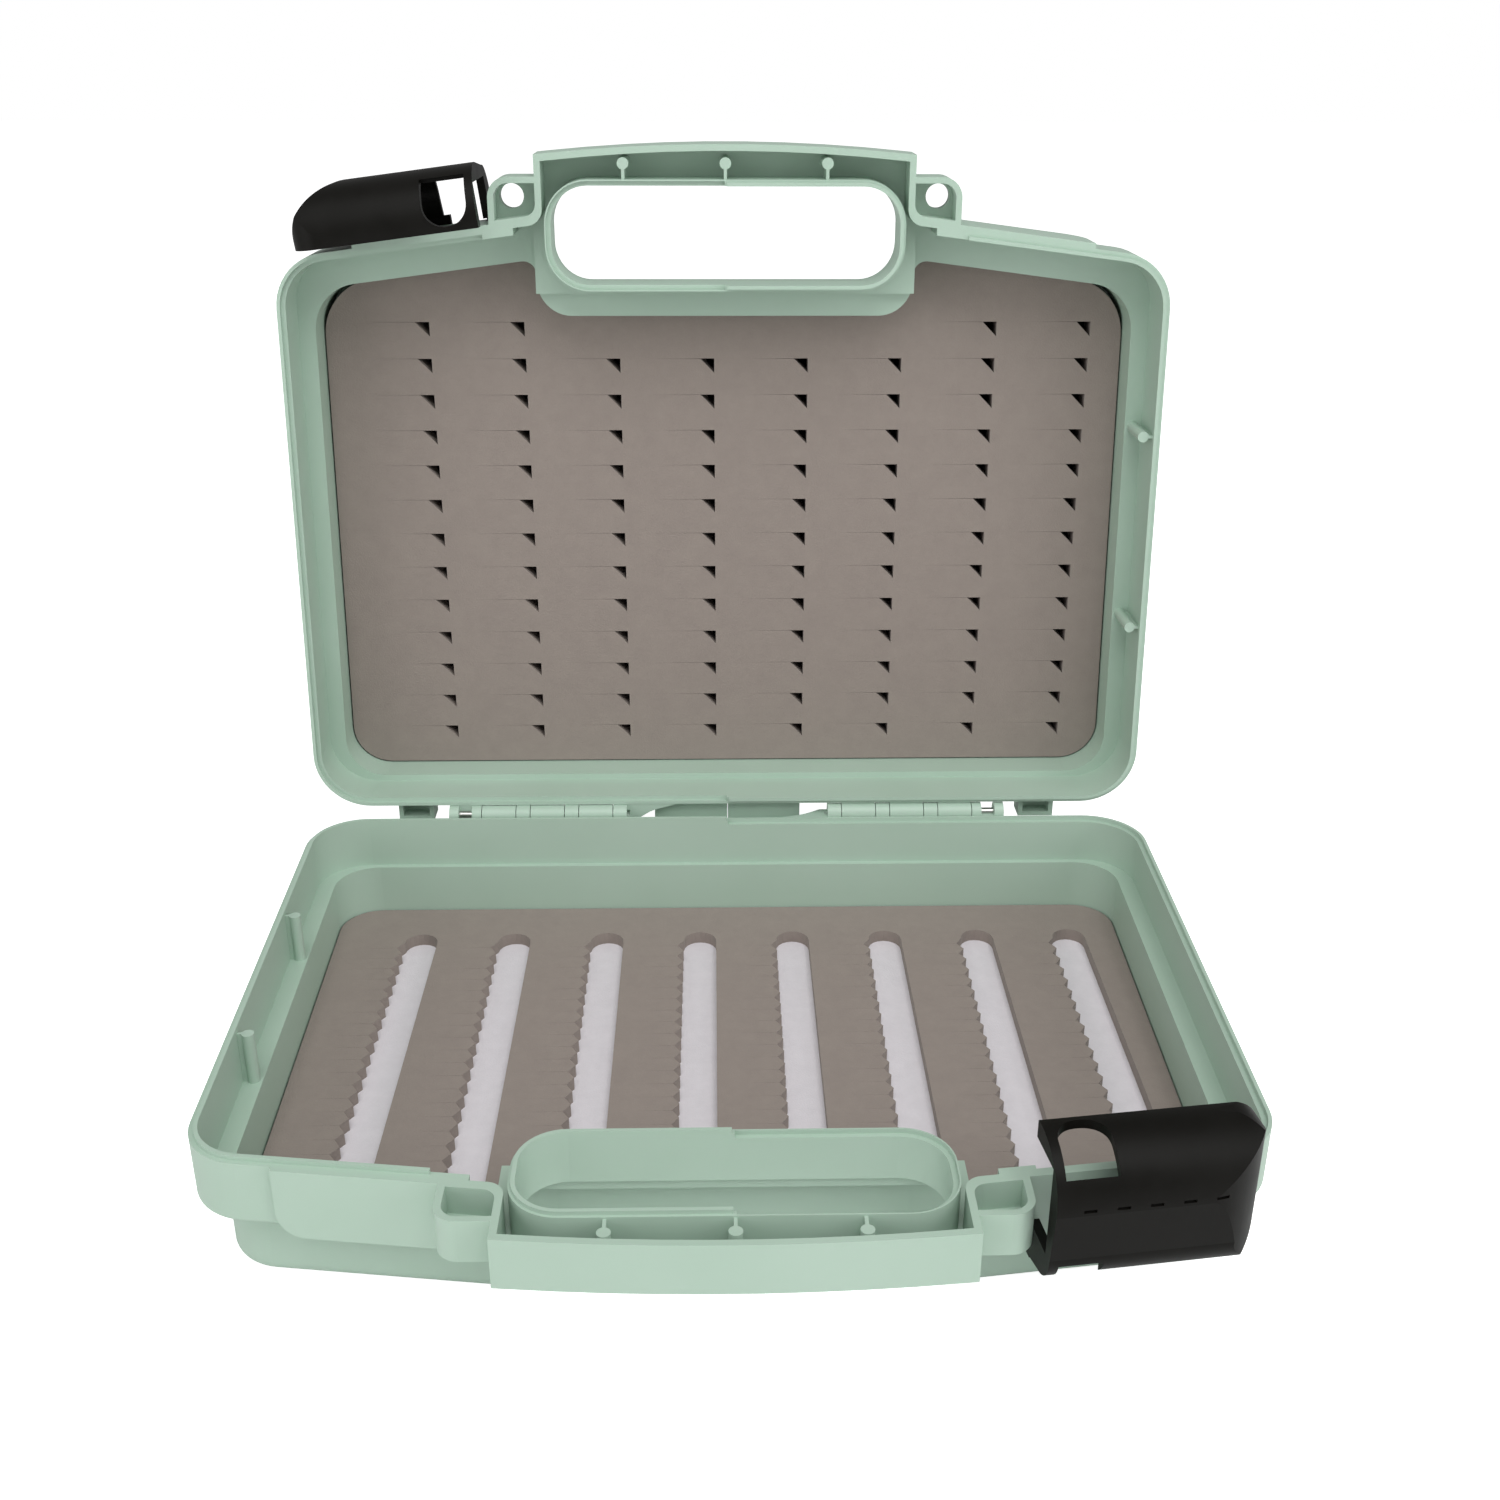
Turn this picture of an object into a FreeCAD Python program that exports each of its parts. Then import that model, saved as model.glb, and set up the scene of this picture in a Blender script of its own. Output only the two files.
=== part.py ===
"""Open carry case for fishing flies: two equal shells on pinned hinges, with foams and sliding latches.

The case lies open: the base on its back, the lid standing behind it. Both shells are one moulding.
Moulding frame: x across the case, y from the hinge axis to the handle, z out of the rim, rim plane at zero.
Case frame: x to the right, y away from the handle, z up, origin on the surface below the middle of the case.
"""
import FreeCAD
import Part
import math
import os
import Sketcher

V = FreeCAD.Vector
doc = FreeCAD.newDocument("fly_case")
sheet = doc.addObject("Spreadsheet::Sheet", "sizes")

# Driving dimensions in millimetres, and angles in degrees.
SIZES = {
    "open_angle": 91.3,
    # Rim outline
    "half_width_rear": 139.0,
    "width_rear_place": 30.0,
    "half_width_front": 135.5,
    "width_front_place": 170.0,
    "rear_edge": 3.5,
    "front_edge_outer": 188.2,
    "front_edge_inner": 193.6,
    "edge_outer_place": 111.3,
    "edge_inner_place": 69.6,
    "rear_corner_radius": 18.0,
    "front_corner_radius": 17.0,
    # Shell walls and depths
    "wall": 2.4,
    "floor_thick": 2.0,
    "case_depth": 42.2,
    "flange_height": 18.0,
    "side_inset": 5.3,
    "front_inset": 11.0,
    "rear_inset": 2.0,
    "tub_corner_rear": 13.0,
    "tub_corner_front": 15.0,
    "floor_edge_radius": 4.0,
    "flange_edge_radius": 1.4,
    "rim_gap": 0.1,
    "tongue_height": 1.2,
    "tongue_thick": 1.1,
    "groove_play": 0.3,
    # Handle and hand hole
    "handle_half_width": 56.3,
    "handle_side_end": 213.2,
    "handle_top": 216.0,
    "handle_depth": 14.3,
    "handle_wall": 1.9,
    "handle_root_radius": 3.0,
    "ring_half_width": 53.9,
    "ring_rear": 174.2,
    "ring_front": 206.2,
    "ring_wall": 1.8,
    "ring_radius": 13.0,
    "notch_half_width": 56.0,
    "notch_rear": 167.0,
    "notch_radius": 10.5,
    "notch_mouth_radius": 4.0,
    # Moulded details
    "plate_thick": 1.6,
    "plate_height": 20.0,
    "plate_corner": 7.0,
    "ear_half_width": 6.4,
    "ear_place": 63.9,
    "ear_hole_place": 201.0,
    "ear_reach": 6.0,
    "ear_radius": 6.0,
    "ear_depth": 12.0,
    "ear_wall": 1.8,
    "ear_floor": 4.0,
    "ear_hole_radius": 3.6,
    "boss_radius": 1.7,
    "boss_pitch": 30.2,
    "boss_place": 210.7,
    "boss_drop": 0.6,
    "rib_thick": 0.9,
    "side_boss_rear": 66.3,
    "side_boss_front": 129.5,
    "side_boss_reach": 4.6,
    # Hinges
    "knuckle_radius": 3.2,
    "pin_radius": 1.25,
    "pin_play": 0.05,
    "hinge_play": 0.25,
    "hinge_start": 39.2,
    "knuckle_wide": 11.4,
    "knuckle_thin": 4.6,
    "end_window": 4.5,
    "end_ear": 3.2,
    "web_play": 0.3,
    "fin_length": 17.0,
    "foot_place": 107.0,
    "foot_width": 12.0,
    "foot_height": 8.0,
    "foot_wall": 1.5,
    "stop_drop": 4.2,
    "stop_short": 3.8,
    "stop_long": 9.0,
    "stop_half_width": 25.0,
    "stop_height": 7.0,
    # Foams
    "foam_gap": 0.5,
    "tape_thick": 0.4,
    "lid_foam_thick": 9.6,
    "lid_backing_thick": 2.9,
    "base_backing_thick": 3.3,
    "base_foam_thick": 4.0,
    "slot_count": 8,
    "slot_pitch": 31.0,
    "slot_width": 10.8,
    "slot_first": 102.5,
    "slot_rear": 25.0,
    "slot_end_gap": 7.0,
    "tooth_pitch": 6.3,
    "tooth_depth": 2.0,
    "cut_columns": 8,
    "cut_rows": 13,
    "cut_pitch_across": 30.3,
    "cut_pitch_along": 11.6,
    "cut_first_across": -94.5,
    "cut_first_along": 21.8,
    "cut_top_clear": 62.0,
    "cut_side": 4.6,
    # Latches
    "latch_length": 55.0,
    "latch_wall": 1.8,
    "latch_top": 17.0,
    "latch_bottom": 22.5,
    "latch_bulge": 18.0,
    "latch_lip": 0.9,
    "latch_play": 0.3,
    "latch_hook": 1.6,
    "latch_hook_rise": 1.5,
    "latch_nose": 17.0,
    "latch_travel": 12.6,
    "latch_leg": 2.4,
    "latch_rest_place": 70.9,
    "latch_corner_top": 8.0,
    "latch_corner_bottom": 20.0,
    "ear_front_clear": 12.75,
    "pin_end_gap": 0.3,
    "window_length": 13.0,
    "window_reach": 15.6,
    "window_rim": 1.5,
    "window_corner": 6.2,
    "latch_notch_length": 11.0,
    "latch_notch_height": 8.5,
    "grip_slot_length": 3.2,
    "grip_slot_width": 0.8,
    "grip_slot_pitch": 8.0,
    "grip_slot_first": 8.0,
    "grip_slot_count": 5,
    # Where the hinge axis lies behind the middle of the base, and the overrun of every cut
    "hinge_back": 95.0,
    "cut_over": 1.0,
}
for row, (alias, value) in enumerate(SIZES.items(), start=1):
    sheet.set("A%d" % row, alias)
    sheet.set("B%d" % row, str(value))
    sheet.setAlias("B%d" % row, alias)
doc.recompute()


def size(alias):
    """A driving dimension, read back from the sheet."""
    return float(sheet.get(alias))


def side_line(place):
    """Half width of the rim at a distance from the hinge axis."""
    slope = (size("half_width_front") - size("half_width_rear")) / (
        size("width_front_place") - size("width_rear_place"))
    return size("half_width_rear") + slope * (place - size("width_rear_place"))


def front_slope():
    """Fall of the front edge for each millimetre outwards."""
    return (size("front_edge_inner") - size("front_edge_outer")) / (
        size("edge_outer_place") - size("edge_inner_place"))


def front_line(across):
    """Place of the front edge at a distance from the middle."""
    return size("front_edge_outer") + front_slope() * (size("edge_outer_place") - abs(across))


FRONT_ANGLE = math.atan(front_slope())

# Shape of the latch cover, as shares of its bulge, height and nose.
SHOULDER_SHARES = (0.8, 0.72)
CREST_SHARE = 0.12
GRIP_SHARE = 0.19
HEEL_SHARES = (0.9, 0.53)
KNEE_SHARES = (0.8, 0.78)
TOE_SHARES = (0.5, 0.91)
NOSE_SHARES = (0.3, 0.72)
LEAN_SHARE = 0.7


def rounded(points):
    """Line and arc edges of a closed outline; each point is (x, y, corner radius)."""
    count = len(points)
    corners = []
    for i, (x, y, radius) in enumerate(points):
        here = V(x, y, 0)
        before = V(points[i - 1][0], points[i - 1][1], 0) - here
        after = V(points[(i + 1) % count][0], points[(i + 1) % count][1], 0) - here
        before.normalize()
        after.normalize()
        if radius <= 0:
            corners.append((here, None, here))
            continue
        half = before.getAngle(after) / 2
        reach = radius / math.tan(half)
        bisector = before + after
        bisector.normalize()
        middle = here + bisector * (radius / math.sin(half) - radius)
        corners.append((here + before * reach, middle, here + after * reach))
    edges = []
    for i, (start, middle, end) in enumerate(corners):
        if middle is not None:
            edges.append(Part.Arc(start, middle, end))
        following = corners[(i + 1) % count][0]
        if (following - end).Length > 1e-6:
            edges.append(Part.LineSegment(end, following))
    return edges


def mirrored(points):
    """A right-hand run of outline points, closed by its mirror image."""
    return points + [(-x, y, radius) for x, y, radius in reversed(points)]


def box_outline(x0, x1, y0, y1, radius=0):
    """Edges of an upright rectangle."""
    return rounded([(x0, y0, radius), (x1, y0, radius), (x1, y1, radius), (x0, y1, radius)])


def circle(x, y, radius):
    """Edge of a circle."""
    return [Part.Circle(V(x, y, 0), V(0, 0, 1), radius)]


def plane_of(body, role):
    """An origin plane of a body, such as XY_Plane."""
    return [f for f in body.Origin.OriginFeatures if f.Role == role][0]


def sketch_on(body, name, outlines, lift="0 mm", plane="XY_Plane"):
    """A sketch of closed outlines, on an origin plane moved along its normal by an expression."""
    sketch = body.newObject("Sketcher::SketchObject", name)
    sketch.AttachmentSupport = [(plane_of(body, plane), "")]
    sketch.MapMode = "FlatFace"
    sketch.setExpression("AttachmentOffset.Base.z", lift)
    for outline in outlines:
        sketch.addGeometry(outline, False)
    return sketch


def pad(body, name, outlines, length, lift="0 mm", down=True, plane="XY_Plane"):
    """Adds a prism, downwards unless told otherwise."""
    feature = body.newObject("PartDesign::Pad", name)
    feature.Profile = sketch_on(body, name + "_sketch", outlines, lift, plane)
    feature.setExpression("Length", length)
    feature.Reversed = down
    feature.Refine = False
    return feature


def pocket(body, name, outlines, length, lift="0 mm", plane="XY_Plane", up=False):
    """Cuts a prism, downwards from its sketch unless told otherwise."""
    feature = body.newObject("PartDesign::Pocket", name)
    feature.Profile = sketch_on(body, name + "_sketch", outlines, lift, plane)
    feature.setExpression("Length", length)
    feature.Reversed = up
    feature.Refine = False
    return feature


def fillet(body, name, choose, radius):
    """Rounds the edges of the body's tip that a test picks out."""
    doc.recompute()
    tip = body.Tip
    names = ["Edge%d" % (i + 1) for i, e in enumerate(tip.Shape.Edges) if choose(e)]
    feature = body.newObject("PartDesign::Fillet", name)
    feature.Base = (tip, names)
    feature.setExpression("Radius", radius)
    doc.recompute()
    return feature


def crossing(side, front):
    """Where the side line and the front line meet, each drawn in by its own inset."""
    across = size("half_width_front")
    place = front_line(across) - front
    for _ in range(8):
        across = side_line(place) - side
        place = front_line(across) - front
    return across, place


def rim_outline(inset):
    """The rim, drawn in by an inset; the notch round the hand hole is left to the handle."""
    rear = size("rear_edge") + inset
    mouth = size("notch_half_width") + inset
    across, place = crossing(inset, inset + size("plate_thick"))
    return rounded(mirrored([
        (side_line(rear) - inset, rear, size("rear_corner_radius") - inset),
        (across, place, size("front_corner_radius") - inset),
        (mouth, front_line(mouth) - size("plate_thick") - inset, 0),
        (mouth, size("ring_rear") - inset, 0),
    ]))


def tub_outline(inset):
    """The deep part of the shell, drawn in by an inset, with its notch behind the hand hole."""
    rear = size("rear_edge") + size("rear_inset") + inset
    mouth = size("notch_half_width") + inset
    across, place = crossing(size("side_inset") + inset, size("front_inset") + inset)
    return rounded(mirrored([
        (side_line(rear) - size("side_inset") - inset, rear, size("tub_corner_rear")),
        (across, place, size("tub_corner_front")),
        (mouth, front_line(mouth) - size("front_inset") - inset, size("notch_mouth_radius")),
        (mouth, size("notch_rear") - inset, size("notch_radius")),
    ]))


def ring_outline(inset):
    """The wall round the hand hole."""
    half = size("ring_half_width") - inset
    return box_outline(-half, half, size("ring_rear") + inset, size("ring_front") - inset,
                       size("ring_radius") - inset)


def handle_outline(inset, foot_half, foot_place):
    """The half handle in plan: foot in the shell, concave roots, straight sides and an arched top."""
    half = size("handle_half_width") - inset
    rise = size("handle_top") - size("handle_side_end")
    slant = math.atan2(2 * rise, half)
    arch = 0.95 * half / math.cos(slant) / math.tan(slant)
    run = [
        (foot_half, foot_place, 0),
        (foot_half, front_line(foot_half) - inset, 0),
        (half, front_line(half) - inset, size("handle_root_radius") + inset),
        (half, size("handle_side_end") - inset, 0.0),
    ]
    apex = (0, size("handle_side_end") + 2 * rise - inset, arch)
    return rounded(run + [apex] + [(-x, y, radius) for x, y, radius in reversed(run)])


def knuckle_spans():
    """Spans of the hinge knuckles across one half: wide ones on one side, thin ones on the other."""
    step = size("knuckle_wide") + size("knuckle_thin") + 2 * size("hinge_play")
    first = size("hinge_start")
    wide = [(first + i * step, first + i * step + size("knuckle_wide")) for i in range(3)]
    thin = [(start - size("hinge_play") - size("knuckle_thin"), start - size("hinge_play"))
            for start, _ in wide]
    end = wide[-1][1] + size("hinge_play")
    thin.append((end, end + size("end_ear")))
    thin.append((end + size("end_ear") + size("end_window"),
                 end + 2 * size("end_ear") + size("end_window")))
    return wide, thin


def make_shell(name):
    """One clamshell half, made in the moulding frame."""
    body = doc.addObject("PartDesign::Body", name)
    body.Label = name
    over = size("cut_over")
    wall = size("wall")
    gap = "-sizes.rim_gap"

    plates = []
    for side in (1, -1):
        inner = size("handle_half_width") - size("handle_wall") / 2
        outer = size("edge_outer_place")
        deep = size("plate_thick") + wall
        plates.append(rounded([(side * inner, front_line(inner), 0), (side * outer, front_line(outer), 0),
                               (side * outer, front_line(outer) - deep, 0),
                               (side * inner, front_line(inner) - deep, 0)]))
    pad(body, name + "_plates", plates, "sizes.plate_height - sizes.rim_gap", gap)
    fillet(body, name + "_plate_corners",
           lambda e: at_height(e, -size("plate_height")) and lies_across(e, size("edge_outer_place")),
           "sizes.plate_corner")
    pad(body, name + "_flange", [rim_outline(0)], "sizes.flange_height - sizes.rim_gap", gap)
    flange = -size("flange_height")
    fillet(body, name + "_flange_edge",
           lambda e: at_height(e, flange) and outside_front(e), "sizes.flange_edge_radius")
    pad(body, name + "_tub", [tub_outline(0)], "sizes.case_depth - sizes.flange_height + sizes.floor_thick",
        "-sizes.flange_height + sizes.floor_thick")
    bottom = -size("case_depth")
    fillet(body, name + "_floor_edge", lambda e: at_height(e, bottom), "sizes.floor_edge_radius")
    foot_half = size("notch_half_width") + 3 * wall
    pad(body, name + "_handle", [handle_outline(0, foot_half, size("ring_rear") - wall)],
        "sizes.handle_depth - sizes.rim_gap", gap)
    for side in (1, -1):
        inner = size("handle_half_width") - size("handle_wall") / 2
        tag = "_right" if side > 0 else "_left"
        ear_out = size("ear_place") + size("ear_half_width")
        ear = [(side * inner, front_line(inner) - wall, 0),
               (side * ear_out, front_line(ear_out) - wall, 0),
               (side * ear_out, size("ear_hole_place") + size("ear_reach"), size("ear_radius")),
               (side * inner, size("ear_hole_place") + size("ear_reach"), 0)]
        pad(body, name + "_ear" + tag, [rounded(ear)], "sizes.ear_depth - sizes.rim_gap", gap)

    pocket(body, name + "_upper_cavity", [rim_outline(wall)], "sizes.flange_height - sizes.floor_thick")
    pocket(body, name + "_deep_cavity", [tub_outline(wall)],
           "sizes.case_depth - sizes.flange_height + sizes.cut_over",
           "-sizes.flange_height + sizes.floor_thick + sizes.cut_over")
    pocket(body, name + "_handle_cavity",
           [handle_outline(size("handle_wall"), foot_half, size("ring_rear") - wall - over),
            ring_outline(0)], "sizes.handle_depth - sizes.handle_wall")
    pocket(body, name + "_hand_hole", [ring_outline(size("ring_wall"))], "sizes.case_depth")

    for side in (1, -1):
        tag = "_right" if side > 0 else "_left"
        inner = size("handle_half_width")
        outer = size("ear_place") + size("ear_half_width") - size("ear_wall")
        hollow = [(side * inner, front_line(inner) + size("ear_wall") / 2, 2 * size("ear_wall")),
                  (side * outer, front_line(outer) + size("ear_wall") / 2, 0),
                  (side * outer, size("ear_hole_place") + size("ear_reach") - size("ear_wall"),
                   size("ear_radius") - size("ear_wall")),
                  (side * inner, size("ear_hole_place") + size("ear_reach") - size("ear_wall"), 0)]
        pocket(body, name + "_ear_hollow" + tag, [rounded(hollow)], "sizes.ear_depth - sizes.ear_floor")
        pocket(body, name + "_ear_hole" + tag,
               [circle(side * size("ear_place"), size("ear_hole_place"), size("ear_hole_radius"))],
               "sizes.ear_depth + sizes.cut_over")

    boss_top = "-sizes.boss_drop"
    boss_height = "sizes.handle_depth - sizes.boss_drop - sizes.handle_wall / 2"
    ribs = []
    for i in (-1, 0, 1):
        across = i * size("boss_pitch")
        pad(body, name + "_boss_%d" % (i + 2), [circle(across, size("boss_place"), size("boss_radius"))],
            boss_height, boss_top)
        half = size("rib_thick") / 2
        ribs.append(box_outline(across - half, across + half, size("ring_front") - size("ring_wall") / 2,
                                size("handle_side_end") - size("handle_wall") / 2))
    pad(body, name + "_handle_ribs", ribs, boss_height, boss_top)
    for i, place in enumerate((size("side_boss_rear"), size("side_boss_front"))):
        across = side_line(place) - wall - size("side_boss_reach") + size("boss_radius")
        pad(body, name + "_side_boss_%d" % (i + 1), [circle(across, place, size("boss_radius"))],
            "sizes.flange_height - sizes.boss_drop - sizes.floor_thick / 2", boss_top)
        half = size("rib_thick") / 2
        pad(body, name + "_side_rib_%d" % (i + 1),
            [box_outline(across, side_line(place) - wall / 2, place - half, place + half)],
            "sizes.flange_height - sizes.boss_drop - sizes.floor_thick / 2", boss_top)

    wide, thin = knuckle_spans()
    spans = wide + [(-b, -a) for a, b in thin]
    turned = body.newObject("PartDesign::Revolution", name + "_knuckles")
    turned.Profile = sketch_on(body, name + "_knuckle_sketch",
                               [box_outline(a, b, 0, size("knuckle_radius")) for a, b in spans])
    turned.ReferenceAxis = (turned.Profile[0], ["H_Axis"])
    turned.Angle = 360
    turned.Refine = False
    reach = size("rear_edge") + wall / 2
    webs = [box_outline(a, b, 0, reach) for a, b in spans]
    end = thin[-1]
    webs[-1] = box_outline(-end[1], -thin[-2][0], 0, reach)
    webs.pop(-2)
    pad(body, name + "_webs", webs, "sizes.knuckle_radius - sizes.web_play", "-sizes.web_play")
    tip = -thin[0][0]
    fin = [(tip, reach, 0), (tip, -size("knuckle_radius") * 0.9, 0),
           (tip + size("fin_length") * 0.15, -size("knuckle_radius") * 0.9, 0),
           (tip + size("fin_length") * 0.5, size("rear_edge") * 0.3, size("fin_length")),
           (tip + size("fin_length"), size("rear_edge") * 0.95, 0), (tip + size("fin_length"), reach, 0)]
    pad(body, name + "_fin", [rounded(fin)], "sizes.knuckle_radius - sizes.web_play", "-sizes.web_play")
    bored = body.newObject("PartDesign::Groove", name + "_pin_bore")
    bore = size("pin_radius") + size("pin_play")
    bored.Profile = sketch_on(body, name + "_bore_sketch",
                              [box_outline(wide[0][0] - over - size("knuckle_thin"), end[1] + over, 0, bore),
                               box_outline(-end[1] - over, -thin[0][0] + over, 0, bore)])
    bored.ReferenceAxis = (bored.Profile[0], ["H_Axis"])
    bored.Angle = 360
    bored.Refine = False

    half = size("foot_width") / 2
    feet = [box_outline(side * size("foot_place") - half, side * size("foot_place") + half,
                        -size("stop_short"), reach) for side in (1, -1)]
    feet.append(box_outline(size("hinge_play"), size("stop_half_width"), -size("stop_long"), reach))
    feet.append(box_outline(-size("stop_half_width"), 0, -size("stop_short"), reach))
    pad(body, name + "_feet", feet[:2], "sizes.foot_height", "-sizes.stop_drop")
    pad(body, name + "_stop_long", feet[2:3], "sizes.stop_height", "-sizes.stop_drop")
    pad(body, name + "_stop_short", feet[3:], "sizes.stop_height", "-sizes.stop_drop")
    inner = half - size("foot_wall")
    slots = [box_outline(side * size("foot_place") - inner, side * size("foot_place") + inner,
                         -size("stop_short") + size("foot_wall"), size("rear_edge") - size("foot_wall"))
             for side in (1, -1)]
    pocket(body, name + "_foot_slots", slots, "sizes.foot_height - 2 * sizes.foot_wall", "-sizes.stop_drop")

    outer = wall - size("tongue_thick")
    pad(body, name + "_tongue", [tongue_strip(1, outer, wall)], "sizes.tongue_height", gap, down=False)
    ring_outer = size("ring_wall") - size("tongue_thick")
    pad(body, name + "_ring_tongue", [ring_strip(1, ring_outer, size("ring_wall"))],
        "sizes.tongue_height", gap, down=False)
    groove = outer - size("groove_play")
    pocket(body, name + "_groove", [tongue_strip(-1, groove, wall + over, size("groove_play"))],
           "sizes.tongue_height + sizes.groove_play")
    pocket(body, name + "_ring_groove",
           [ring_strip(-1, ring_outer - size("groove_play"), size("ring_wall") + over,
                       size("groove_play"))],
           "sizes.tongue_height + sizes.groove_play")

    return body


def at_height(edge, height):
    """Whether an edge lies flat at a height."""
    return abs(edge.BoundBox.ZMin - height) < 1e-4 and abs(edge.BoundBox.ZMax - height) < 1e-4


def lies_across(edge, across):
    """Whether an edge lies at a distance from the middle, on either side."""
    box = edge.BoundBox
    return abs(box.XMax - box.XMin) < 1e-4 and abs(abs(box.XMax) - across) < 1e-4


def outside_front(edge):
    """Whether an edge belongs to the sides or the rear of the rim, clear of the handle and plates."""
    middle = edge.valueAt((edge.FirstParameter + edge.LastParameter) / 2)
    return abs(middle.x) > size("edge_outer_place") or middle.y < size("rear_corner_radius")


def tongue_strip(side, near, far, spare=0):
    """A strip along half of the rim, from the middle of the hinge edge to the handle's root."""
    def run(inset):
        across, place = crossing(inset, inset + size("plate_thick"))
        rear = size("rear_edge") + inset
        end = size("ear_place") + size("ear_half_width") + size("wall") - spare
        return [(side * (size("cut_over") / 2 - spare), rear, 0),
                (side * (side_line(rear) - inset), rear, size("rear_corner_radius") - inset),
                (side * across, place, size("front_corner_radius") - inset),
                (side * end, front_line(end) - size("plate_thick") - inset, 0)]
    return rounded(run(near) + list(reversed(run(far))))


def ring_strip(side, near, far, spare=0):
    """A strip along half of the hand hole's wall."""
    def run(inset):
        half = size("ring_half_width") - inset
        start = side * (size("cut_over") / 2 - spare)
        radius = size("ring_radius") - inset
        return [(start, size("ring_rear") + inset, 0), (side * half, size("ring_rear") + inset, radius),
                (side * half, size("ring_front") - inset, radius), (start, size("ring_front") - inset, 0)]
    return rounded(run(near) + list(reversed(run(far))))


def base_placement():
    """Moulding frame to case frame for the half that lies on its back."""
    return FreeCAD.Placement(V(0, size("hinge_back"), size("case_depth")), FreeCAD.Rotation(V(0, 0, 1), 180))


def lid_placement():
    """Moulding frame to case frame for the open lid."""
    return FreeCAD.Placement(V(0, size("hinge_back"), size("case_depth")),
                             FreeCAD.Rotation(V(1, 0, 0), 180 - size("open_angle")))


def make_sheet(name, inset, drop, thick):
    """A flat sheet that fills the tub; drop is the height expression of its face."""
    body = doc.addObject("PartDesign::Body", name)
    body.Label = name
    pad(body, name + "_sheet", [tub_outline(inset)], thick, drop)
    return body


def make_foams():
    """Both foams with their backing sheets and adhesive tapes, from the shell's floor upwards."""
    inset = size("wall") + size("foam_gap")
    floor = "-sizes.case_depth + sizes.floor_thick"
    made = {}
    for half, backing, foam in (("base", "base_backing_thick", "base_foam_thick"),
                                ("lid", "lid_backing_thick", "lid_foam_thick")):
        top = floor + " + sizes.tape_thick"
        made[half + "_foam_tape"] = make_sheet(half + "_foam_tape", 3 * inset, top, "sizes.tape_thick")
        top += " + sizes." + backing
        made[half + "_foam_backing"] = make_sheet(half + "_foam_backing", inset, top, "sizes." + backing)
        top += " + sizes." + foam
        body = make_sheet(half + "_foam", inset, top, "sizes." + foam)
        made[half + "_foam"] = body
        cuts = base_cuts() if half == "base" else lid_cuts()
        pocket(body, half + "_foam_cuts", cuts, "sizes." + foam + " + sizes.cut_over",
               top + " + sizes.cut_over")
    return made


def base_cuts():
    """The row of hook slots."""
    return [slot_edges(size("slot_first") - i * size("slot_pitch")) for i in range(int(size("slot_count")))]


def slot_edges(across):
    """One slot, stopped short of the foam's notch where it runs behind the hand hole."""
    half = size("slot_width") / 2
    rear = size("slot_rear") + half
    behind_hand_hole = abs(across) < size("notch_half_width") + half + size("tooth_depth")
    edge = size("notch_rear") if behind_hand_hole else front_line(across) - size("front_inset")
    front = edge - size("wall") - size("foam_gap") - size("slot_end_gap") - half
    count = int((front - rear) / size("tooth_pitch"))
    pitch = (front - rear) / count
    edges = [Part.Arc(V(across - half, rear, 0), V(across, rear - half, 0), V(across + half, rear, 0)),
             Part.Arc(V(across + half, front, 0), V(across, front + half, 0), V(across - half, front, 0)),
             Part.LineSegment(V(across - half, front, 0), V(across - half, rear, 0))]
    for i in range(count):
        start = V(across + half, rear + i * pitch, 0)
        tip = V(across + half + size("tooth_depth"), rear + (i + 0.5) * pitch, 0)
        end = V(across + half, rear + (i + 1) * pitch, 0)
        edges += [Part.LineSegment(start, tip), Part.LineSegment(tip, end)]
    return edges


def lid_cuts():
    """The grid of three-cornered cuts; the top row leaves out those at the hand hole's notch."""
    side = size("cut_side")
    cuts = []
    for row_index in range(int(size("cut_rows"))):
        for column in range(int(size("cut_columns"))):
            x = size("cut_first_across") + column * size("cut_pitch_across")
            y = size("cut_first_along") + row_index * size("cut_pitch_along")
            top_row = row_index == int(size("cut_rows")) - 1
            if top_row and abs(x - side / 2) < size("cut_top_clear"):
                continue
            cuts.append(rounded([(x, y, 0), (x - side, y, 0), (x, y - side, 0)]))
    return cuts


def latch_section(inset):
    """Cross-section of the latch cover, drawn in by an inset: outward from the plate, and height."""
    lip = size("latch_lip")
    bulge, top, bottom = size("latch_bulge"), size("latch_top"), size("latch_bottom")
    points = [(lip, top), (bulge * SHOULDER_SHARES[0], top * SHOULDER_SHARES[1]), (bulge, top * CREST_SHARE),
              (bulge * HEEL_SHARES[0], -bottom * HEEL_SHARES[1]),
              (bulge * KNEE_SHARES[0], -bottom * KNEE_SHARES[1]),
              (bulge * TOE_SHARES[0], -bottom * TOE_SHARES[1]), (lip, -bottom)]
    if inset:
        start, shoulder, crest, heel, knee, toe, back = points
        lean = inset * LEAN_SHARE
        points = [(lip, start[1] - 2 * lean), (shoulder[0] - inset, shoulder[1] - lean),
                  (crest[0] - inset, crest[1]), (heel[0] - inset, heel[1]),
                  (knee[0] - lean, knee[1] + lean), (toe[0] - lean, toe[1] + inset), (lip, back[1] + inset)]
    start, shoulder, crest, heel, knee, toe, back = [V(0, x, z) for x, z in points]
    edges = [Part.Arc(start, shoulder, crest), Part.LineSegment(crest, heel), Part.Arc(heel, knee, toe),
             Part.LineSegment(toe, back), Part.LineSegment(back, start)]
    return Part.Face(Part.Wire([e.toShape() for e in edges]))


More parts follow.
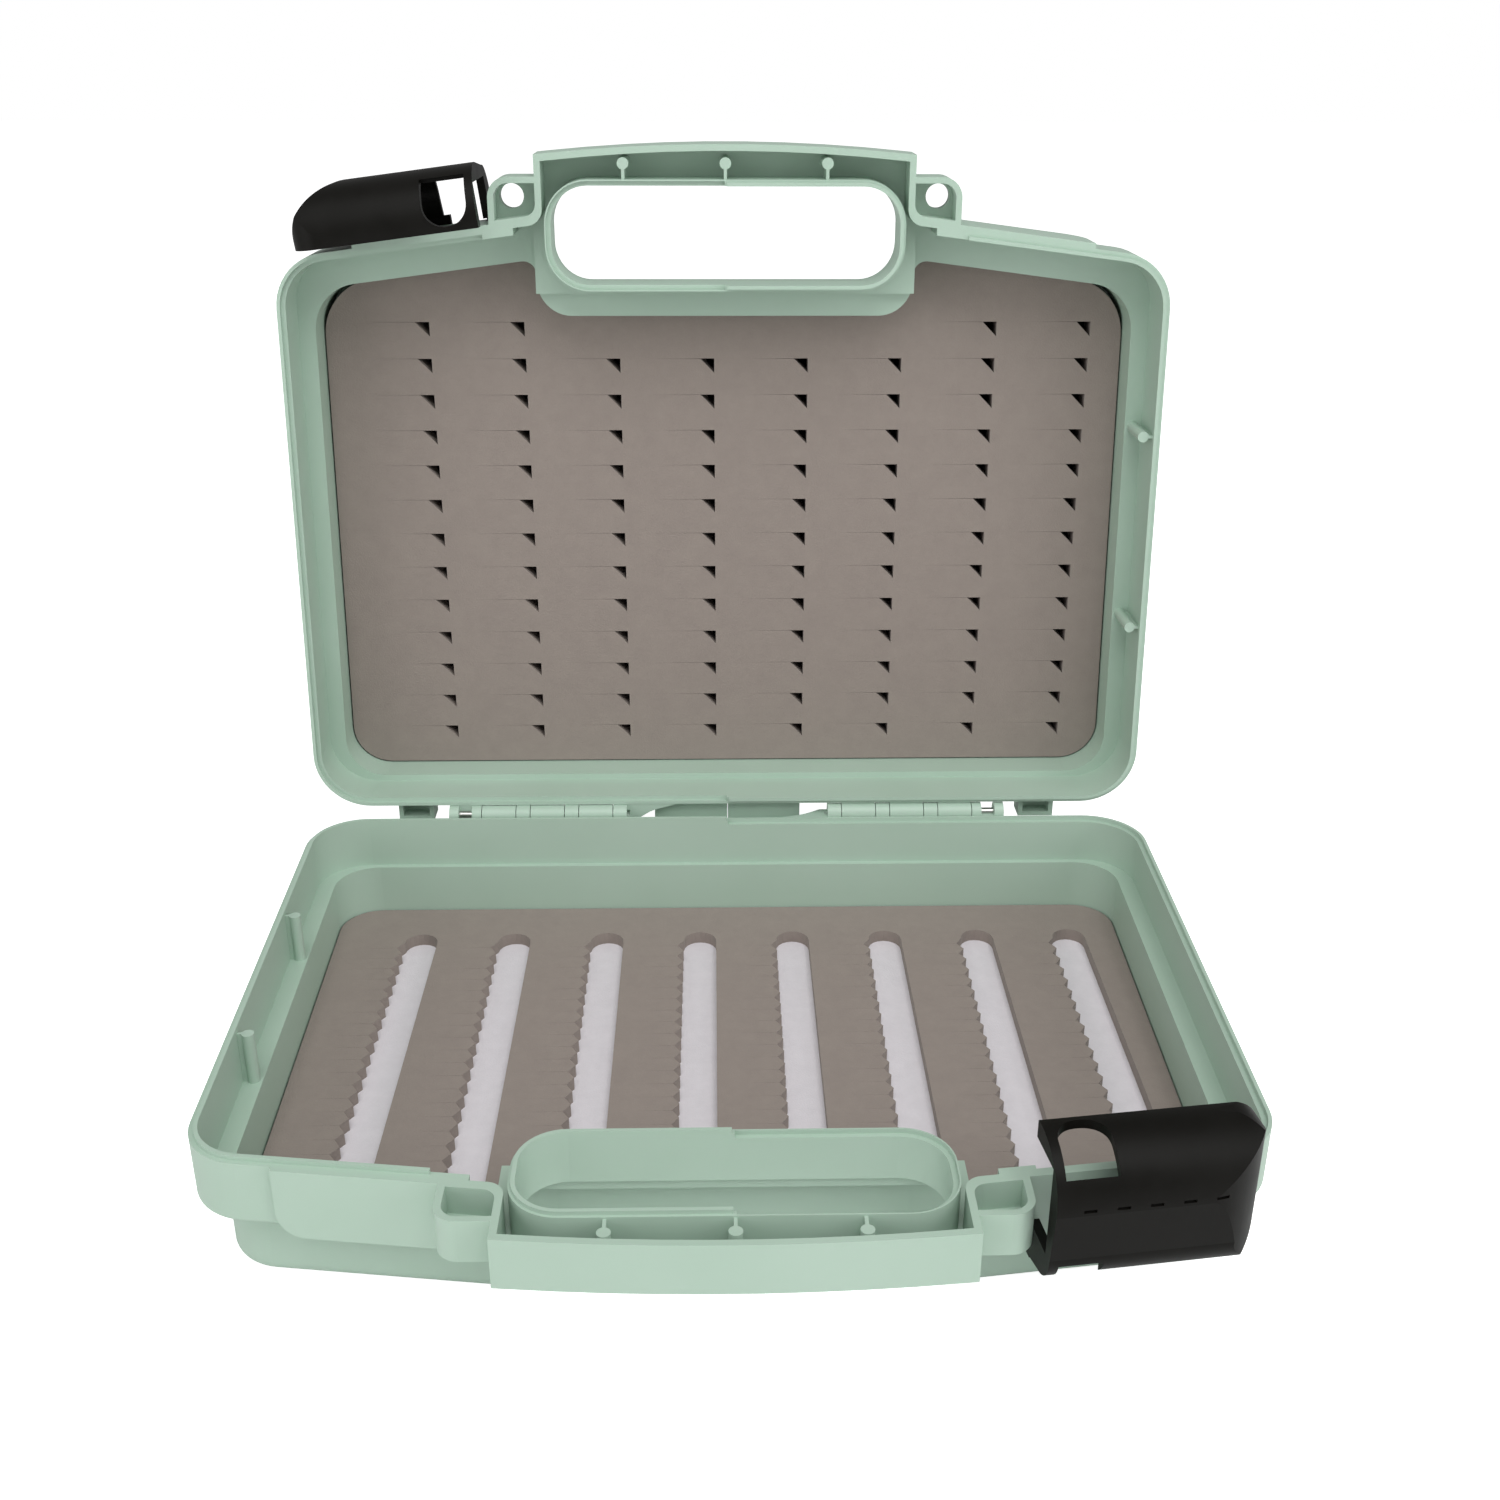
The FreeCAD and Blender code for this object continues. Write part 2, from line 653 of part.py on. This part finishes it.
def latch_plan(inset, end):
    """Plan of the latch: straight inner end, and a nose that curves in to the case."""
    length, bulge, nose = size("latch_length") - inset, size("latch_bulge"), size("latch_nose")
    over = size("cut_over")
    tall = bulge + over
    near = V(-length, size("latch_lip"), 0)
    middle = V(-length + (nose - inset) * NOSE_SHARES[0], bulge * NOSE_SHARES[1] - inset * LEAN_SHARE, 0)
    far = V(-length + nose, bulge - inset, 0)
    edges = [Part.Arc(near, middle, far), Part.LineSegment(far, V(-length + nose, tall, 0)),
             Part.LineSegment(V(-length + nose, tall, 0), V(end, tall, 0)),
             Part.LineSegment(V(end, tall, 0), V(end, -over, 0)),
             Part.LineSegment(V(end, -over, 0), V(-length, -over, 0)),
             Part.LineSegment(V(-length, -over, 0), near)]
    return Part.Face(Part.Wire([e.toShape() for e in edges]))


def latch_front(inset, end):
    """Front view of the latch: length and height, with round outer corners."""
    length, over = size("latch_length") - inset, size("cut_over")
    outline = rounded([(end, -size("latch_bottom") - over, 0), (end, size("latch_top") + over, 0),
                       (-length, size("latch_top"), size("latch_corner_top") - inset),
                       (-length, -size("latch_bottom") + inset, size("latch_corner_bottom") - inset)])
    face = Part.Face(Part.Wire([e.toShape() for e in outline]))
    face.rotate(V(0, 0, 0), V(1, 0, 0), 90)
    return face


def latch_bulk(inset, end):
    """The form that the section, the plan and the front view have in common."""
    long, tall = 2 * size("latch_length"), 4 * size("latch_top")
    section = latch_section(inset)
    section.translate(V(end - long, 0, 0))
    bulk = section.extrude(V(long, 0, 0))
    plan = latch_plan(inset, end)
    plan.translate(V(0, 0, -tall / 2))
    bulk = bulk.common(plan.extrude(V(0, 0, tall)))
    front = latch_front(inset, end)
    front.translate(V(0, -tall / 2, 0))
    return bulk.common(front.extrude(V(0, tall, 0)))


def block(x0, x1, y0, y1, z0, z1):
    """A box between two corners."""
    return Part.makeBox(x1 - x0, y1 - y0, z1 - z0, V(x0, y0, z0))


def make_latch(name):
    """A sliding latch: a hollow cover with a hook behind the catch plate and an open inner end."""
    over, wall, play = size("cut_over"), size("latch_wall"), size("latch_play")
    length, bulge, lip = size("latch_length"), size("latch_bulge"), size("latch_lip")
    top, bottom, leg = size("latch_top"), size("latch_bottom"), size("latch_leg")
    cover = latch_bulk(0, 0)
    cover = cover.cut(latch_bulk(wall, -leg))
    reach = size("ear_front_clear") + play
    clear = size("ear_depth") + play
    cover = cover.cut(block(-leg - over, over, -over, reach, -clear, clear))

    hook_top = -size("plate_height") - play
    back = -(size("plate_thick") + size("wall")) / math.cos(FRONT_ANGLE) - play
    thick = size("latch_hook")
    inner = -length + size("latch_corner_bottom")
    hook = block(inner, 0, back - thick, lip + wall, -bottom, hook_top)
    hook = hook.fuse(block(inner, 0, back - thick, back, -bottom, hook_top + size("latch_hook_rise")))
    cover = cover.fuse(hook)

    window = size("window_length")
    rim, far, corner = lip + size("window_rim"), size("window_reach"), size("window_corner")
    cover = cover.cut(block(-leg - window, -leg, lip + wall, reach, -bottom - over, clear))
    cover = cover.cut(block(-leg - window, -leg, -over, reach, clear - wall, clear))
    cover = cover.cut(block(-leg - window, -leg, rim + corner, far, clear - 2 * wall, top + over))
    outline = rounded([(-leg, rim, corner), (-leg, far, 0), (-leg - window, far, 0),
                       (-leg - window, rim, corner)])
    opening = Part.Face(Part.Wire([e.toShape() for e in outline]))
    opening.translate(V(0, 0, clear))
    cover = cover.cut(opening.extrude(V(0, 0, top)))
    cover = cover.cut(block(-leg - size("latch_notch_length"), -leg, back - thick - over, bulge + over,
                            -bottom - over, -bottom + size("latch_notch_height")))
    half_long, half_wide = size("grip_slot_length") / 2, size("grip_slot_width") / 2
    for i in range(int(size("grip_slot_count"))):
        middle = -size("grip_slot_first") - i * size("grip_slot_pitch")
        crest = top * GRIP_SHARE
        cover = cover.cut(block(middle - half_long, middle + half_long, bulge - wall - over, bulge + over,
                                crest - half_wide, crest + half_wide))
    cover = cover.removeSplitter()
    piece = doc.addObject("Part::Feature", name)
    piece.Label = name
    piece.Shape = cover
    return piece


def latch_placement():
    """Latch to moulding frame, at the latch's open end of travel."""
    rest = size("latch_rest_place")
    return FreeCAD.Placement(V(-rest, front_line(rest), 0),
                             FreeCAD.Rotation(V(0, 0, 1), math.degrees(FRONT_ANGLE)))


def make_pin(name, side):
    """A hinge pin along the axis, in the case frame."""
    body = doc.addObject("PartDesign::Body", name)
    body.Label = name
    wide, thin = knuckle_spans()
    inner = thin[0][0] + size("pin_end_gap")
    outer = thin[-1][1] - size("pin_end_gap")
    rod = body.newObject("PartDesign::Pad", name + "_rod")
    rod.Profile = sketch_on(body, name + "_sketch", [circle(0, 0, size("pin_radius"))],
                            "%s mm" % (inner if side > 0 else -outer), "YZ_Plane")
    rod.Length = outer - inner
    body.Placement = FreeCAD.Placement(V(0, size("hinge_back"), size("case_depth")), FreeCAD.Rotation())
    return body


pieces = {}
for half in ("base", "lid"):
    pieces[half + "_shell"] = make_shell(half + "_shell")
    pieces[half + "_latch"] = make_latch(half + "_latch")
pieces.update(make_foams())
for node, piece in pieces.items():
    place = base_placement() if node.startswith("base") else lid_placement()
    piece.Placement = place.multiply(latch_placement()) if node.endswith("latch") else place
pieces["hinge_pin_left"] = make_pin("hinge_pin_left", -1)
pieces["hinge_pin_right"] = make_pin("hinge_pin_right", 1)
doc.recompute()

for item in doc.Objects:
    if "Invalid" in item.State or "Error" in item.State:
        raise RuntimeError("%s is not valid: %s" % (item.Name, item.State))
for node, piece in pieces.items():
    if piece.Shape.isNull() or not piece.Shape.isValid() or len(piece.Shape.Solids) != 1:
        raise RuntimeError("%s has no sound solid: %d" % (node, len(piece.Shape.Solids)))
os.makedirs("parts", exist_ok=True)
for node, piece in pieces.items():
    piece.Shape.exportStep("parts/%s.step" % node)
    box = piece.Shape.BoundBox
    print("%-18s %9.0f  %.1f %.1f %.1f  %.1f %.1f %.1f" % (
        node, piece.Shape.Volume, box.XMin, box.YMin, box.ZMin, box.XMax, box.YMax, box.ZMax))
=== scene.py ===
"""An open carry case for fishing flies: mint plastic shells, black latches, slit and slotted foam pads."""
import math

import bmesh
import bpy
from mathutils import Matrix, Vector


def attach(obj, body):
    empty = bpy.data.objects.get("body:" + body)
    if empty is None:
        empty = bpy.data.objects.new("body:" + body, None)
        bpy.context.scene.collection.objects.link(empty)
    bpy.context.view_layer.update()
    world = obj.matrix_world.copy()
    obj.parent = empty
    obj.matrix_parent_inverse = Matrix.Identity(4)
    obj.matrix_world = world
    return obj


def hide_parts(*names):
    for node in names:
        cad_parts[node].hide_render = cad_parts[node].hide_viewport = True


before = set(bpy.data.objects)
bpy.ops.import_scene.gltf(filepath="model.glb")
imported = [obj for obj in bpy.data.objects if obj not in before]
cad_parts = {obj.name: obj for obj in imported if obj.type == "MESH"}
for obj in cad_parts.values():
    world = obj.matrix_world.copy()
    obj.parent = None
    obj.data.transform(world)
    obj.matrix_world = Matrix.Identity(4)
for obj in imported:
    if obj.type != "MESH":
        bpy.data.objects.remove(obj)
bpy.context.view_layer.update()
MM = 0.001


# Places of the two shells: x across, y from the hinge axis to the handle, z out of the rim
HINGE_BACK, CASE_DEPTH, LID_TURN = 95.0, 42.2, 88.7
HINGE = Matrix.Translation((0, HINGE_BACK * MM, CASE_DEPTH * MM))
BASE = HINGE @ Matrix.Rotation(math.pi, 4, "Z")
LID = HINGE @ Matrix.Rotation(math.radians(LID_TURN), 4, "X")


# Camera: angles in radians, all else in millimetres
PITCH, YAW, ROLL = 0.42888, 0.023053, 0.003424
CAMERA_PLACE = (-4.044, -414.676, 298.98)
LENS, SENSOR, NEAR_CLIP = 39.85, 36.0, 10.0


def set_camera():
    """The photograph's camera, solved from the case's own lines."""
    pitch, yaw, roll = PITCH, YAW, ROLL
    forward = Vector((math.sin(yaw) * math.cos(pitch), math.cos(yaw) * math.cos(pitch), -math.sin(pitch)))
    right = Vector((math.cos(yaw), -math.sin(yaw), 0))
    up = right.cross(forward)
    right, up = (math.cos(roll) * right + math.sin(roll) * up, math.cos(roll) * up - math.sin(roll) * right)
    data = bpy.data.cameras.new("camera")
    data.lens = LENS
    data.sensor_width = SENSOR
    data.clip_start = NEAR_CLIP * MM
    camera = bpy.data.objects.new("camera", data)
    turned = Matrix((right, up, -forward)).transposed().to_4x4()
    camera.matrix_world = Matrix.Translation([place * MM for place in CAMERA_PLACE]) @ turned
    bpy.context.collection.objects.link(camera)
    bpy.context.scene.camera = camera


# Materials: where the two colours of a tint begin and end
RAMP_STOPS = (0.3, 0.7)


def linear(hex_colour):
    """An sRGB hex colour as linear RGBA."""
    parts = [int(hex_colour[i:i + 2], 16) / 255 for i in (1, 3, 5)]
    return [c / 12.92 if c <= 0.04045 else ((c + 0.055) / 1.055) ** 2.4 for c in parts] + [1.0]


def add(tree, kind, links=(), **settings):
    """Adds a node; settings are its properties or inputs, and links run from (node, output) to an input."""
    node = tree.nodes.new(kind)
    for name, value in settings.items():
        if hasattr(node, name):
            setattr(node, name, value)
        else:
            node.inputs[name.replace("_", " ")].default_value = value
    for (source, output), name in links:
        tree.links.new(source.outputs[output], node.inputs[name])
    return node


def start_material(name, hex_colour, roughness):
    """A new material with its shader and object coordinates."""
    material = bpy.data.materials.new(name)
    material.use_nodes = True
    tree = material.node_tree
    shader = tree.nodes["Principled BSDF"]
    shader.inputs["Base Color"].default_value = linear(hex_colour)
    shader.inputs["Roughness"].default_value = roughness
    place = add(tree, "ShaderNodeTexCoord")
    return material, tree, shader, place


def noise(tree, vector, size_mm, **settings):
    """Noise with features of a size in millimetres, as a factor for the functions below."""
    return add(tree, "ShaderNodeTexNoise", [(vector, "Vector")], Scale=1 / (size_mm * MM), **settings), "Fac"


def stretched(tree, place, scale):
    """Object coordinates drawn out along the axes whose scale is small."""
    return add(tree, "ShaderNodeMapping", [((place, "Object"), "Vector")], Scale=scale), "Vector"


def tint(tree, shader, factor, dark, light):
    """Colour between two hex values, chosen by a pattern."""
    ramp = add(tree, "ShaderNodeValToRGB", [(factor, "Fac")])
    for stop, colour, position in zip(ramp.color_ramp.elements, (dark, light), RAMP_STOPS):
        stop.color = linear(colour)
        stop.position = position
    tree.links.new(ramp.outputs["Color"], shader.inputs["Base Color"])


def roughen(tree, shader, factor, low, high):
    """Roughness between two values, chosen by a pattern."""
    spread = add(tree, "ShaderNodeMapRange", [(factor, "Value")], To_Min=low, To_Max=high)
    tree.links.new(spread.outputs["Result"], shader.inputs["Roughness"])


def emboss(tree, shader, factor, depth_mm, strength):
    """Bump from a pattern, as deep as the real grain."""
    bump = add(tree, "ShaderNodeBump", [(factor, "Height")], Strength=strength, Distance=depth_mm * MM)
    tree.links.new(bump.outputs["Normal"], shader.inputs["Normal"])


def moulded_polypropylene():
    """Polypropylene moulded in a spark-finished tool: satin mint, a fine grain and faint flow clouds."""
    material, tree, shader, place = start_material("moulded_polypropylene", "#a9bfb0", 0.42)
    shader.inputs["IOR"].default_value = 1.49
    shader.inputs["Subsurface Weight"].default_value = 0.06
    shader.inputs["Subsurface Radius"].default_value = (0.8 * MM, 1.6 * MM, 1.0 * MM)
    tint(tree, shader, noise(tree, (place, "Object"), 45, Detail=3.0), "#a6bdad", "#abc1b2")
    # The tool's grain is about 0.15 mm; drawn at 0.5 mm so that it shows.
    grain = noise(tree, (place, "Object"), 0.5, Detail=2.0)
    roughen(tree, shader, grain, 0.36, 0.5)
    emboss(tree, shader, grain, 0.02, 0.35)
    return material


def moulded_nylon():
    """Black glass-filled nylon, moulded: nearly black and satin, with slight sink marks."""
    material, tree, shader, place = start_material("moulded_black_nylon", "#0c0b08", 0.42)
    shader.inputs["Specular IOR Level"].default_value = 0.12
    shader.inputs["IOR"].default_value = 1.53
    sinks = noise(tree, (place, "Object"), 9, Detail=2.0)
    tint(tree, shader, sinks, "#090805", "#0e0d0a")
    roughen(tree, shader, sinks, 0.38, 0.5)
    # Fine drag lines run round the cover from front to back, about 1.2 mm apart.
    drag = noise(tree, stretched(tree, place, (1.0, 0.12, 0.12)), 1.2, Detail=2.0)
    emboss(tree, shader, drag, 0.05, 0.35)
    return material


def cut_foam(name, dark, light):
    """Closed-cell EVA foam, skived to thickness: dull, with fine open cells on the cut face."""
    material, tree, shader, place = start_material(name, light, 0.92)
    shader.inputs["Specular IOR Level"].default_value = 0.25
    shader.inputs["Sheen Weight"].default_value = 0.08
    cells = add(tree, "ShaderNodeTexVoronoi", [((place, "Object"), "Vector")], Scale=1 / (0.55 * MM))
    tint(tree, shader, noise(tree, (place, "Object"), 6, Detail=6.0, Roughness=0.75), dark, light)
    emboss(tree, shader, (cells, "Distance"), 0.12, 0.45)
    return material


def drawn_steel():
    """Nickel-plated wire for the hinge pins: bright, with drawing lines along its length."""
    material, tree, shader, place = start_material("drawn_steel", "#b9b9b6", 0.3)
    shader.inputs["Metallic"].default_value = 1.0
    roughen(tree, shader, noise(tree, stretched(tree, place, (0.05, 1.0, 1.0)), 0.2), 0.22, 0.4)
    return material


def tape_film():
    """Double-sided mounting tape: cream film, slightly glossy and crinkled."""
    material, tree, shader, place = start_material("mounting_tape", "#cfc8b4", 0.5)
    emboss(tree, shader, noise(tree, (place, "Object"), 3), 0.05, 0.4)
    return material


def dress(material, *nodes):
    """Gives solids of the frame their finish."""
    for node in nodes:
        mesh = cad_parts[node].data
        mesh.materials.clear()
        mesh.materials.append(material)


# Foam pads: corners of the right half, each with its radius, from the hinge to the notch at the handle
PAD_CORNERS = [((131.34, 8.4), 13.0), ((127.24, 172.24), 15.0),
               ((58.9, 181.09), 4.0), ((58.9, 164.1), 10.5)]
CORNER_STEPS = 10
# Heights of the pads: underside from the rim, and thickness
SLOTTED_PAD, WHITE_BACKING = (-36.5, 4.0), (-39.8, 3.3)
SLIT_PAD, DARK_BACKING = (-36.9, 9.6), (-39.8, 2.9)
# Slots of the base's pad; those beside the hand hole's notch run on to the sloping front edge
SLOT_CENTRES = [102.5 - 31.0 * i for i in range(8)]
SLOT_HALF, SLOT_REAR, SLOT_FRONT_MIDDLE, SLOT_FRONT_CLEAR = 5.4, 25.0, 151.7, 26.3
NOTCH_REACH = 63.4
FRONT_EDGE, FRONT_EDGE_PLACE, FRONT_FALL = 188.2, 111.3, 0.1295
# Round ends, as points at a step in degrees
ARC_STEP, ARC_POINTS = 18, 9
TOOTH_PITCH, TOOTH_DEPTH, SLIT_LENGTH, SLIT_HALF = 6.3, 2.0, 13.0, 0.05
# Three-cornered cuts of the lid's pad: across, then away from the hinge
CUT_ROWS, CUT_COLUMNS, CUT_SIDE, CUT_SLIT = 13, 8, 4.6, 18.0
CUT_START, CUT_PITCH, CUT_TOP_CLEAR = (-94.5, 21.8), (30.3, 11.6), 62.0


def ring(bm, points):
    """A closed run of edges through points in millimetres."""
    verts = [bm.verts.new((x * MM, y * MM, 0)) for x, y in points]
    return [bm.edges.new((a, b)) for a, b in zip(verts, verts[1:] + verts[:1])]


def pad_outline(bm):
    """The pad's outer edge: the tub's plan with rounded corners."""
    right = [(x, y) for (x, y), _ in PAD_CORNERS]
    corners = right + [(-x, y) for x, y in reversed(right)]
    radii = [radius for _, radius in PAD_CORNERS]
    radii += radii[::-1]
    face = bm.faces.new([bm.verts.new((x * MM, y * MM, 0)) for x, y in corners])
    for vert, radius in zip(list(face.verts), radii):
        bmesh.ops.bevel(bm, geom=[vert], offset=radius * MM, segments=CORNER_STEPS, profile=0.5,
                        material=-1, affect="VERTICES")
    bmesh.ops.delete(bm, geom=list(bm.faces), context="FACES_ONLY")


def slot_end(across, place, turn):
    """Points of a slot's round end."""
    steps = [math.radians(ARC_STEP * i) for i in range(1, ARC_POINTS + 1)]
    return [(across - turn * SLOT_HALF * math.cos(a), place - turn * SLOT_HALF * math.sin(a)) for a in steps]


def add_slot(bm, across):
    """A hook slot: smooth on one side, toothed on the other, with a slit from the notch between teeth."""
    rear = SLOT_REAR + SLOT_HALF
    if abs(across) < NOTCH_REACH:
        front = SLOT_FRONT_MIDDLE
    else:
        front = FRONT_EDGE + FRONT_FALL * (FRONT_EDGE_PLACE - abs(across)) - SLOT_FRONT_CLEAR
    count = int((front - rear) / TOOTH_PITCH)
    pitch = (front - rear) / count
    points = [(across - SLOT_HALF, rear)] + slot_end(across, rear, 1)
    for i in range(count):
        middle = rear + (i + 0.5) * pitch
        root = across + SLOT_HALF + TOOTH_DEPTH
        points += [(across + SLOT_HALF, rear + i * pitch), (root, middle - SLIT_HALF),
                   (root + SLIT_LENGTH, middle), (root, middle + SLIT_HALF)]
    points += [(across + SLOT_HALF, front)] + slot_end(across, front, -1) + [(across - SLOT_HALF, front)]
    ring(bm, points)


def add_cut(bm, x, y):
    """A three-cornered cut, with a slit that runs on from its top edge."""
    s, w = CUT_SIDE, 2 * SLIT_HALF
    ring(bm, [(x, y), (x, y - s), (x - s + w, y - w), (x - s - CUT_SLIT, y - w / 2), (x - s, y)])


def base_slots(bm):
    """The base pad's row of hook slots."""
    for across in SLOT_CENTRES:
        add_slot(bm, across)


def lid_cuts(bm):
    """Rows of cuts; the top row leaves out those below the hand hole."""
    for row in range(CUT_ROWS):
        for column in range(CUT_COLUMNS):
            x, y = CUT_START[0] + CUT_PITCH[0] * column, CUT_START[1] + CUT_PITCH[1] * row
            if row < CUT_ROWS - 1 or abs(x - CUT_SIDE / 2) > CUT_TOP_CLEAR:
                add_cut(bm, x, y)


def make_pad(name, place, heights, cutter, material, node, body):
    """A flat pad from its outline and cuts, laid in its shell."""
    floor, thick = heights
    bm = bmesh.new()
    pad_outline(bm)
    if cutter:
        cutter(bm)
    bmesh.ops.triangle_fill(bm, use_beauty=True, use_dissolve=False, edges=list(bm.edges))
    grown = bmesh.ops.extrude_face_region(bm, geom=list(bm.faces))
    top = [v for v in grown["geom"] if isinstance(v, bmesh.types.BMVert)]
    bmesh.ops.translate(bm, vec=(0, 0, thick * MM), verts=top)
    bmesh.ops.translate(bm, vec=(0, 0, floor * MM), verts=list(bm.verts))
    bmesh.ops.recalc_face_normals(bm, faces=list(bm.faces))
    bmesh.ops.transform(bm, matrix=place, verts=list(bm.verts))
    mesh = bpy.data.meshes.new(name)
    bm.to_mesh(mesh)
    bm.free()
    mesh.materials.append(material)
    pad = bpy.data.objects.new(name, mesh)
    bpy.context.collection.objects.link(pad)
    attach(pad, body)
    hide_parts(node)


def make_pads():
    """Both foams on their backing sheets."""
    grey = cut_foam("cut_grey_foam", "#8a807a", "#90867f")
    white = cut_foam("cut_white_foam", "#d8d4d9", "#e0dce1")
    dark = cut_foam("cut_dark_foam", "#0d0c0b", "#141311")
    make_pad("slotted_pad", BASE, SLOTTED_PAD, base_slots, grey, "base_foam", "base")
    make_pad("white_backing", BASE, WHITE_BACKING, None, white, "base_foam_backing", "base")
    make_pad("slit_pad", LID, SLIT_PAD, lid_cuts, grey, "lid_foam", "lid")
    make_pad("dark_backing", LID, DARK_BACKING, None, dark, "lid_foam_backing", "lid")


# Stage and light: places and sizes in metres, lamps in watts, the rest as strengths
FLOOR_HALF, FLOOR_COLOUR, FLOOR_GLOW, SURROUND_LIGHT = 4.0, "#f4f4f4", 0.75, 0.36
LAMP_AIM = (0, 0, 0.08)
LAMPS = (("key", (0.15, -1.0, 1.8), 1.5, 26.0), ("right_fill", (1.5, -0.8, 0.7), 1.2, 11.0),
         ("left_fill", (-1.4, -0.9, 0.6), 1.2, 9.0))


def set_stage():
    """A white floor that keeps the case's soft shadow, and an even white surround."""
    bm = bmesh.new()
    bmesh.ops.create_grid(bm, x_segments=1, y_segments=1, size=FLOOR_HALF)
    mesh = bpy.data.meshes.new("floor")
    bm.to_mesh(mesh)
    bm.free()
    floor = bpy.data.objects.new("floor", mesh)
    bpy.context.collection.objects.link(floor)
    paper = bpy.data.materials.new("white_paper")
    paper.use_nodes = True
    tree = paper.node_tree
    tree.nodes.clear()
    seen = add(tree, "ShaderNodeLightPath")
    diffuse = add(tree, "ShaderNodeBsdfDiffuse", Color=linear(FLOOR_COLOUR))
    glow = add(tree, "ShaderNodeEmission", Color=(1, 1, 1, 1), Strength=FLOOR_GLOW)
    both = add(tree, "ShaderNodeAddShader")
    tree.links.new(diffuse.outputs[0], both.inputs[0])
    tree.links.new(glow.outputs[0], both.inputs[1])
    mix = add(tree, "ShaderNodeMixShader", [((seen, "Is Camera Ray"), "Fac")])
    tree.links.new(diffuse.outputs[0], mix.inputs[1])
    tree.links.new(both.outputs[0], mix.inputs[2])
    out = add(tree, "ShaderNodeOutputMaterial")
    tree.links.new(mix.outputs[0], out.inputs["Surface"])
    mesh.materials.append(paper)

    world = bpy.data.worlds.new("surround")
    bpy.context.scene.world = world
    world.use_nodes = True
    tree = world.node_tree
    tree.nodes.clear()
    seen = add(tree, "ShaderNodeLightPath")
    either = add(tree, "ShaderNodeMath", [((seen, "Is Camera Ray"), 0), ((seen, "Is Transmission Ray"), 1)],
                 operation="MAXIMUM")
    lift = add(tree, "ShaderNodeMapRange", [((either, "Value"), "Value")], To_Min=SURROUND_LIGHT, To_Max=1.0)
    back = add(tree, "ShaderNodeBackground", [((lift, "Result"), "Strength")], Color=(1, 1, 1, 1))
    out = add(tree, "ShaderNodeOutputWorld")
    tree.links.new(back.outputs[0], out.inputs["Surface"])


def add_lamp(name, place, size, power):
    """A soft square lamp aimed at the case."""
    data = bpy.data.lights.new(name, "AREA")
    data.size = size
    data.energy = power
    lamp = bpy.data.objects.new(name, data)
    turn = (Vector(LAMP_AIM) - Vector(place)).to_track_quat("-Z", "Y").to_matrix().to_4x4()
    lamp.matrix_world = Matrix.Translation(place) @ turn
    bpy.context.collection.objects.link(lamp)


def set_lamps():
    """A broad key from the front and above, and a weaker fill from each side."""
    for name, place, size, power in LAMPS:
        add_lamp(name, place, size, power)


set_camera()
dress(moulded_polypropylene(), "base_shell", "lid_shell")
dress(moulded_nylon(), "base_latch", "lid_latch")
dress(drawn_steel(), "hinge_pin_left", "hinge_pin_right")
dress(tape_film(), "base_foam_tape", "lid_foam_tape")
make_pads()
set_stage()
set_lamps()
bpy.context.scene.view_settings.view_transform = "Standard"
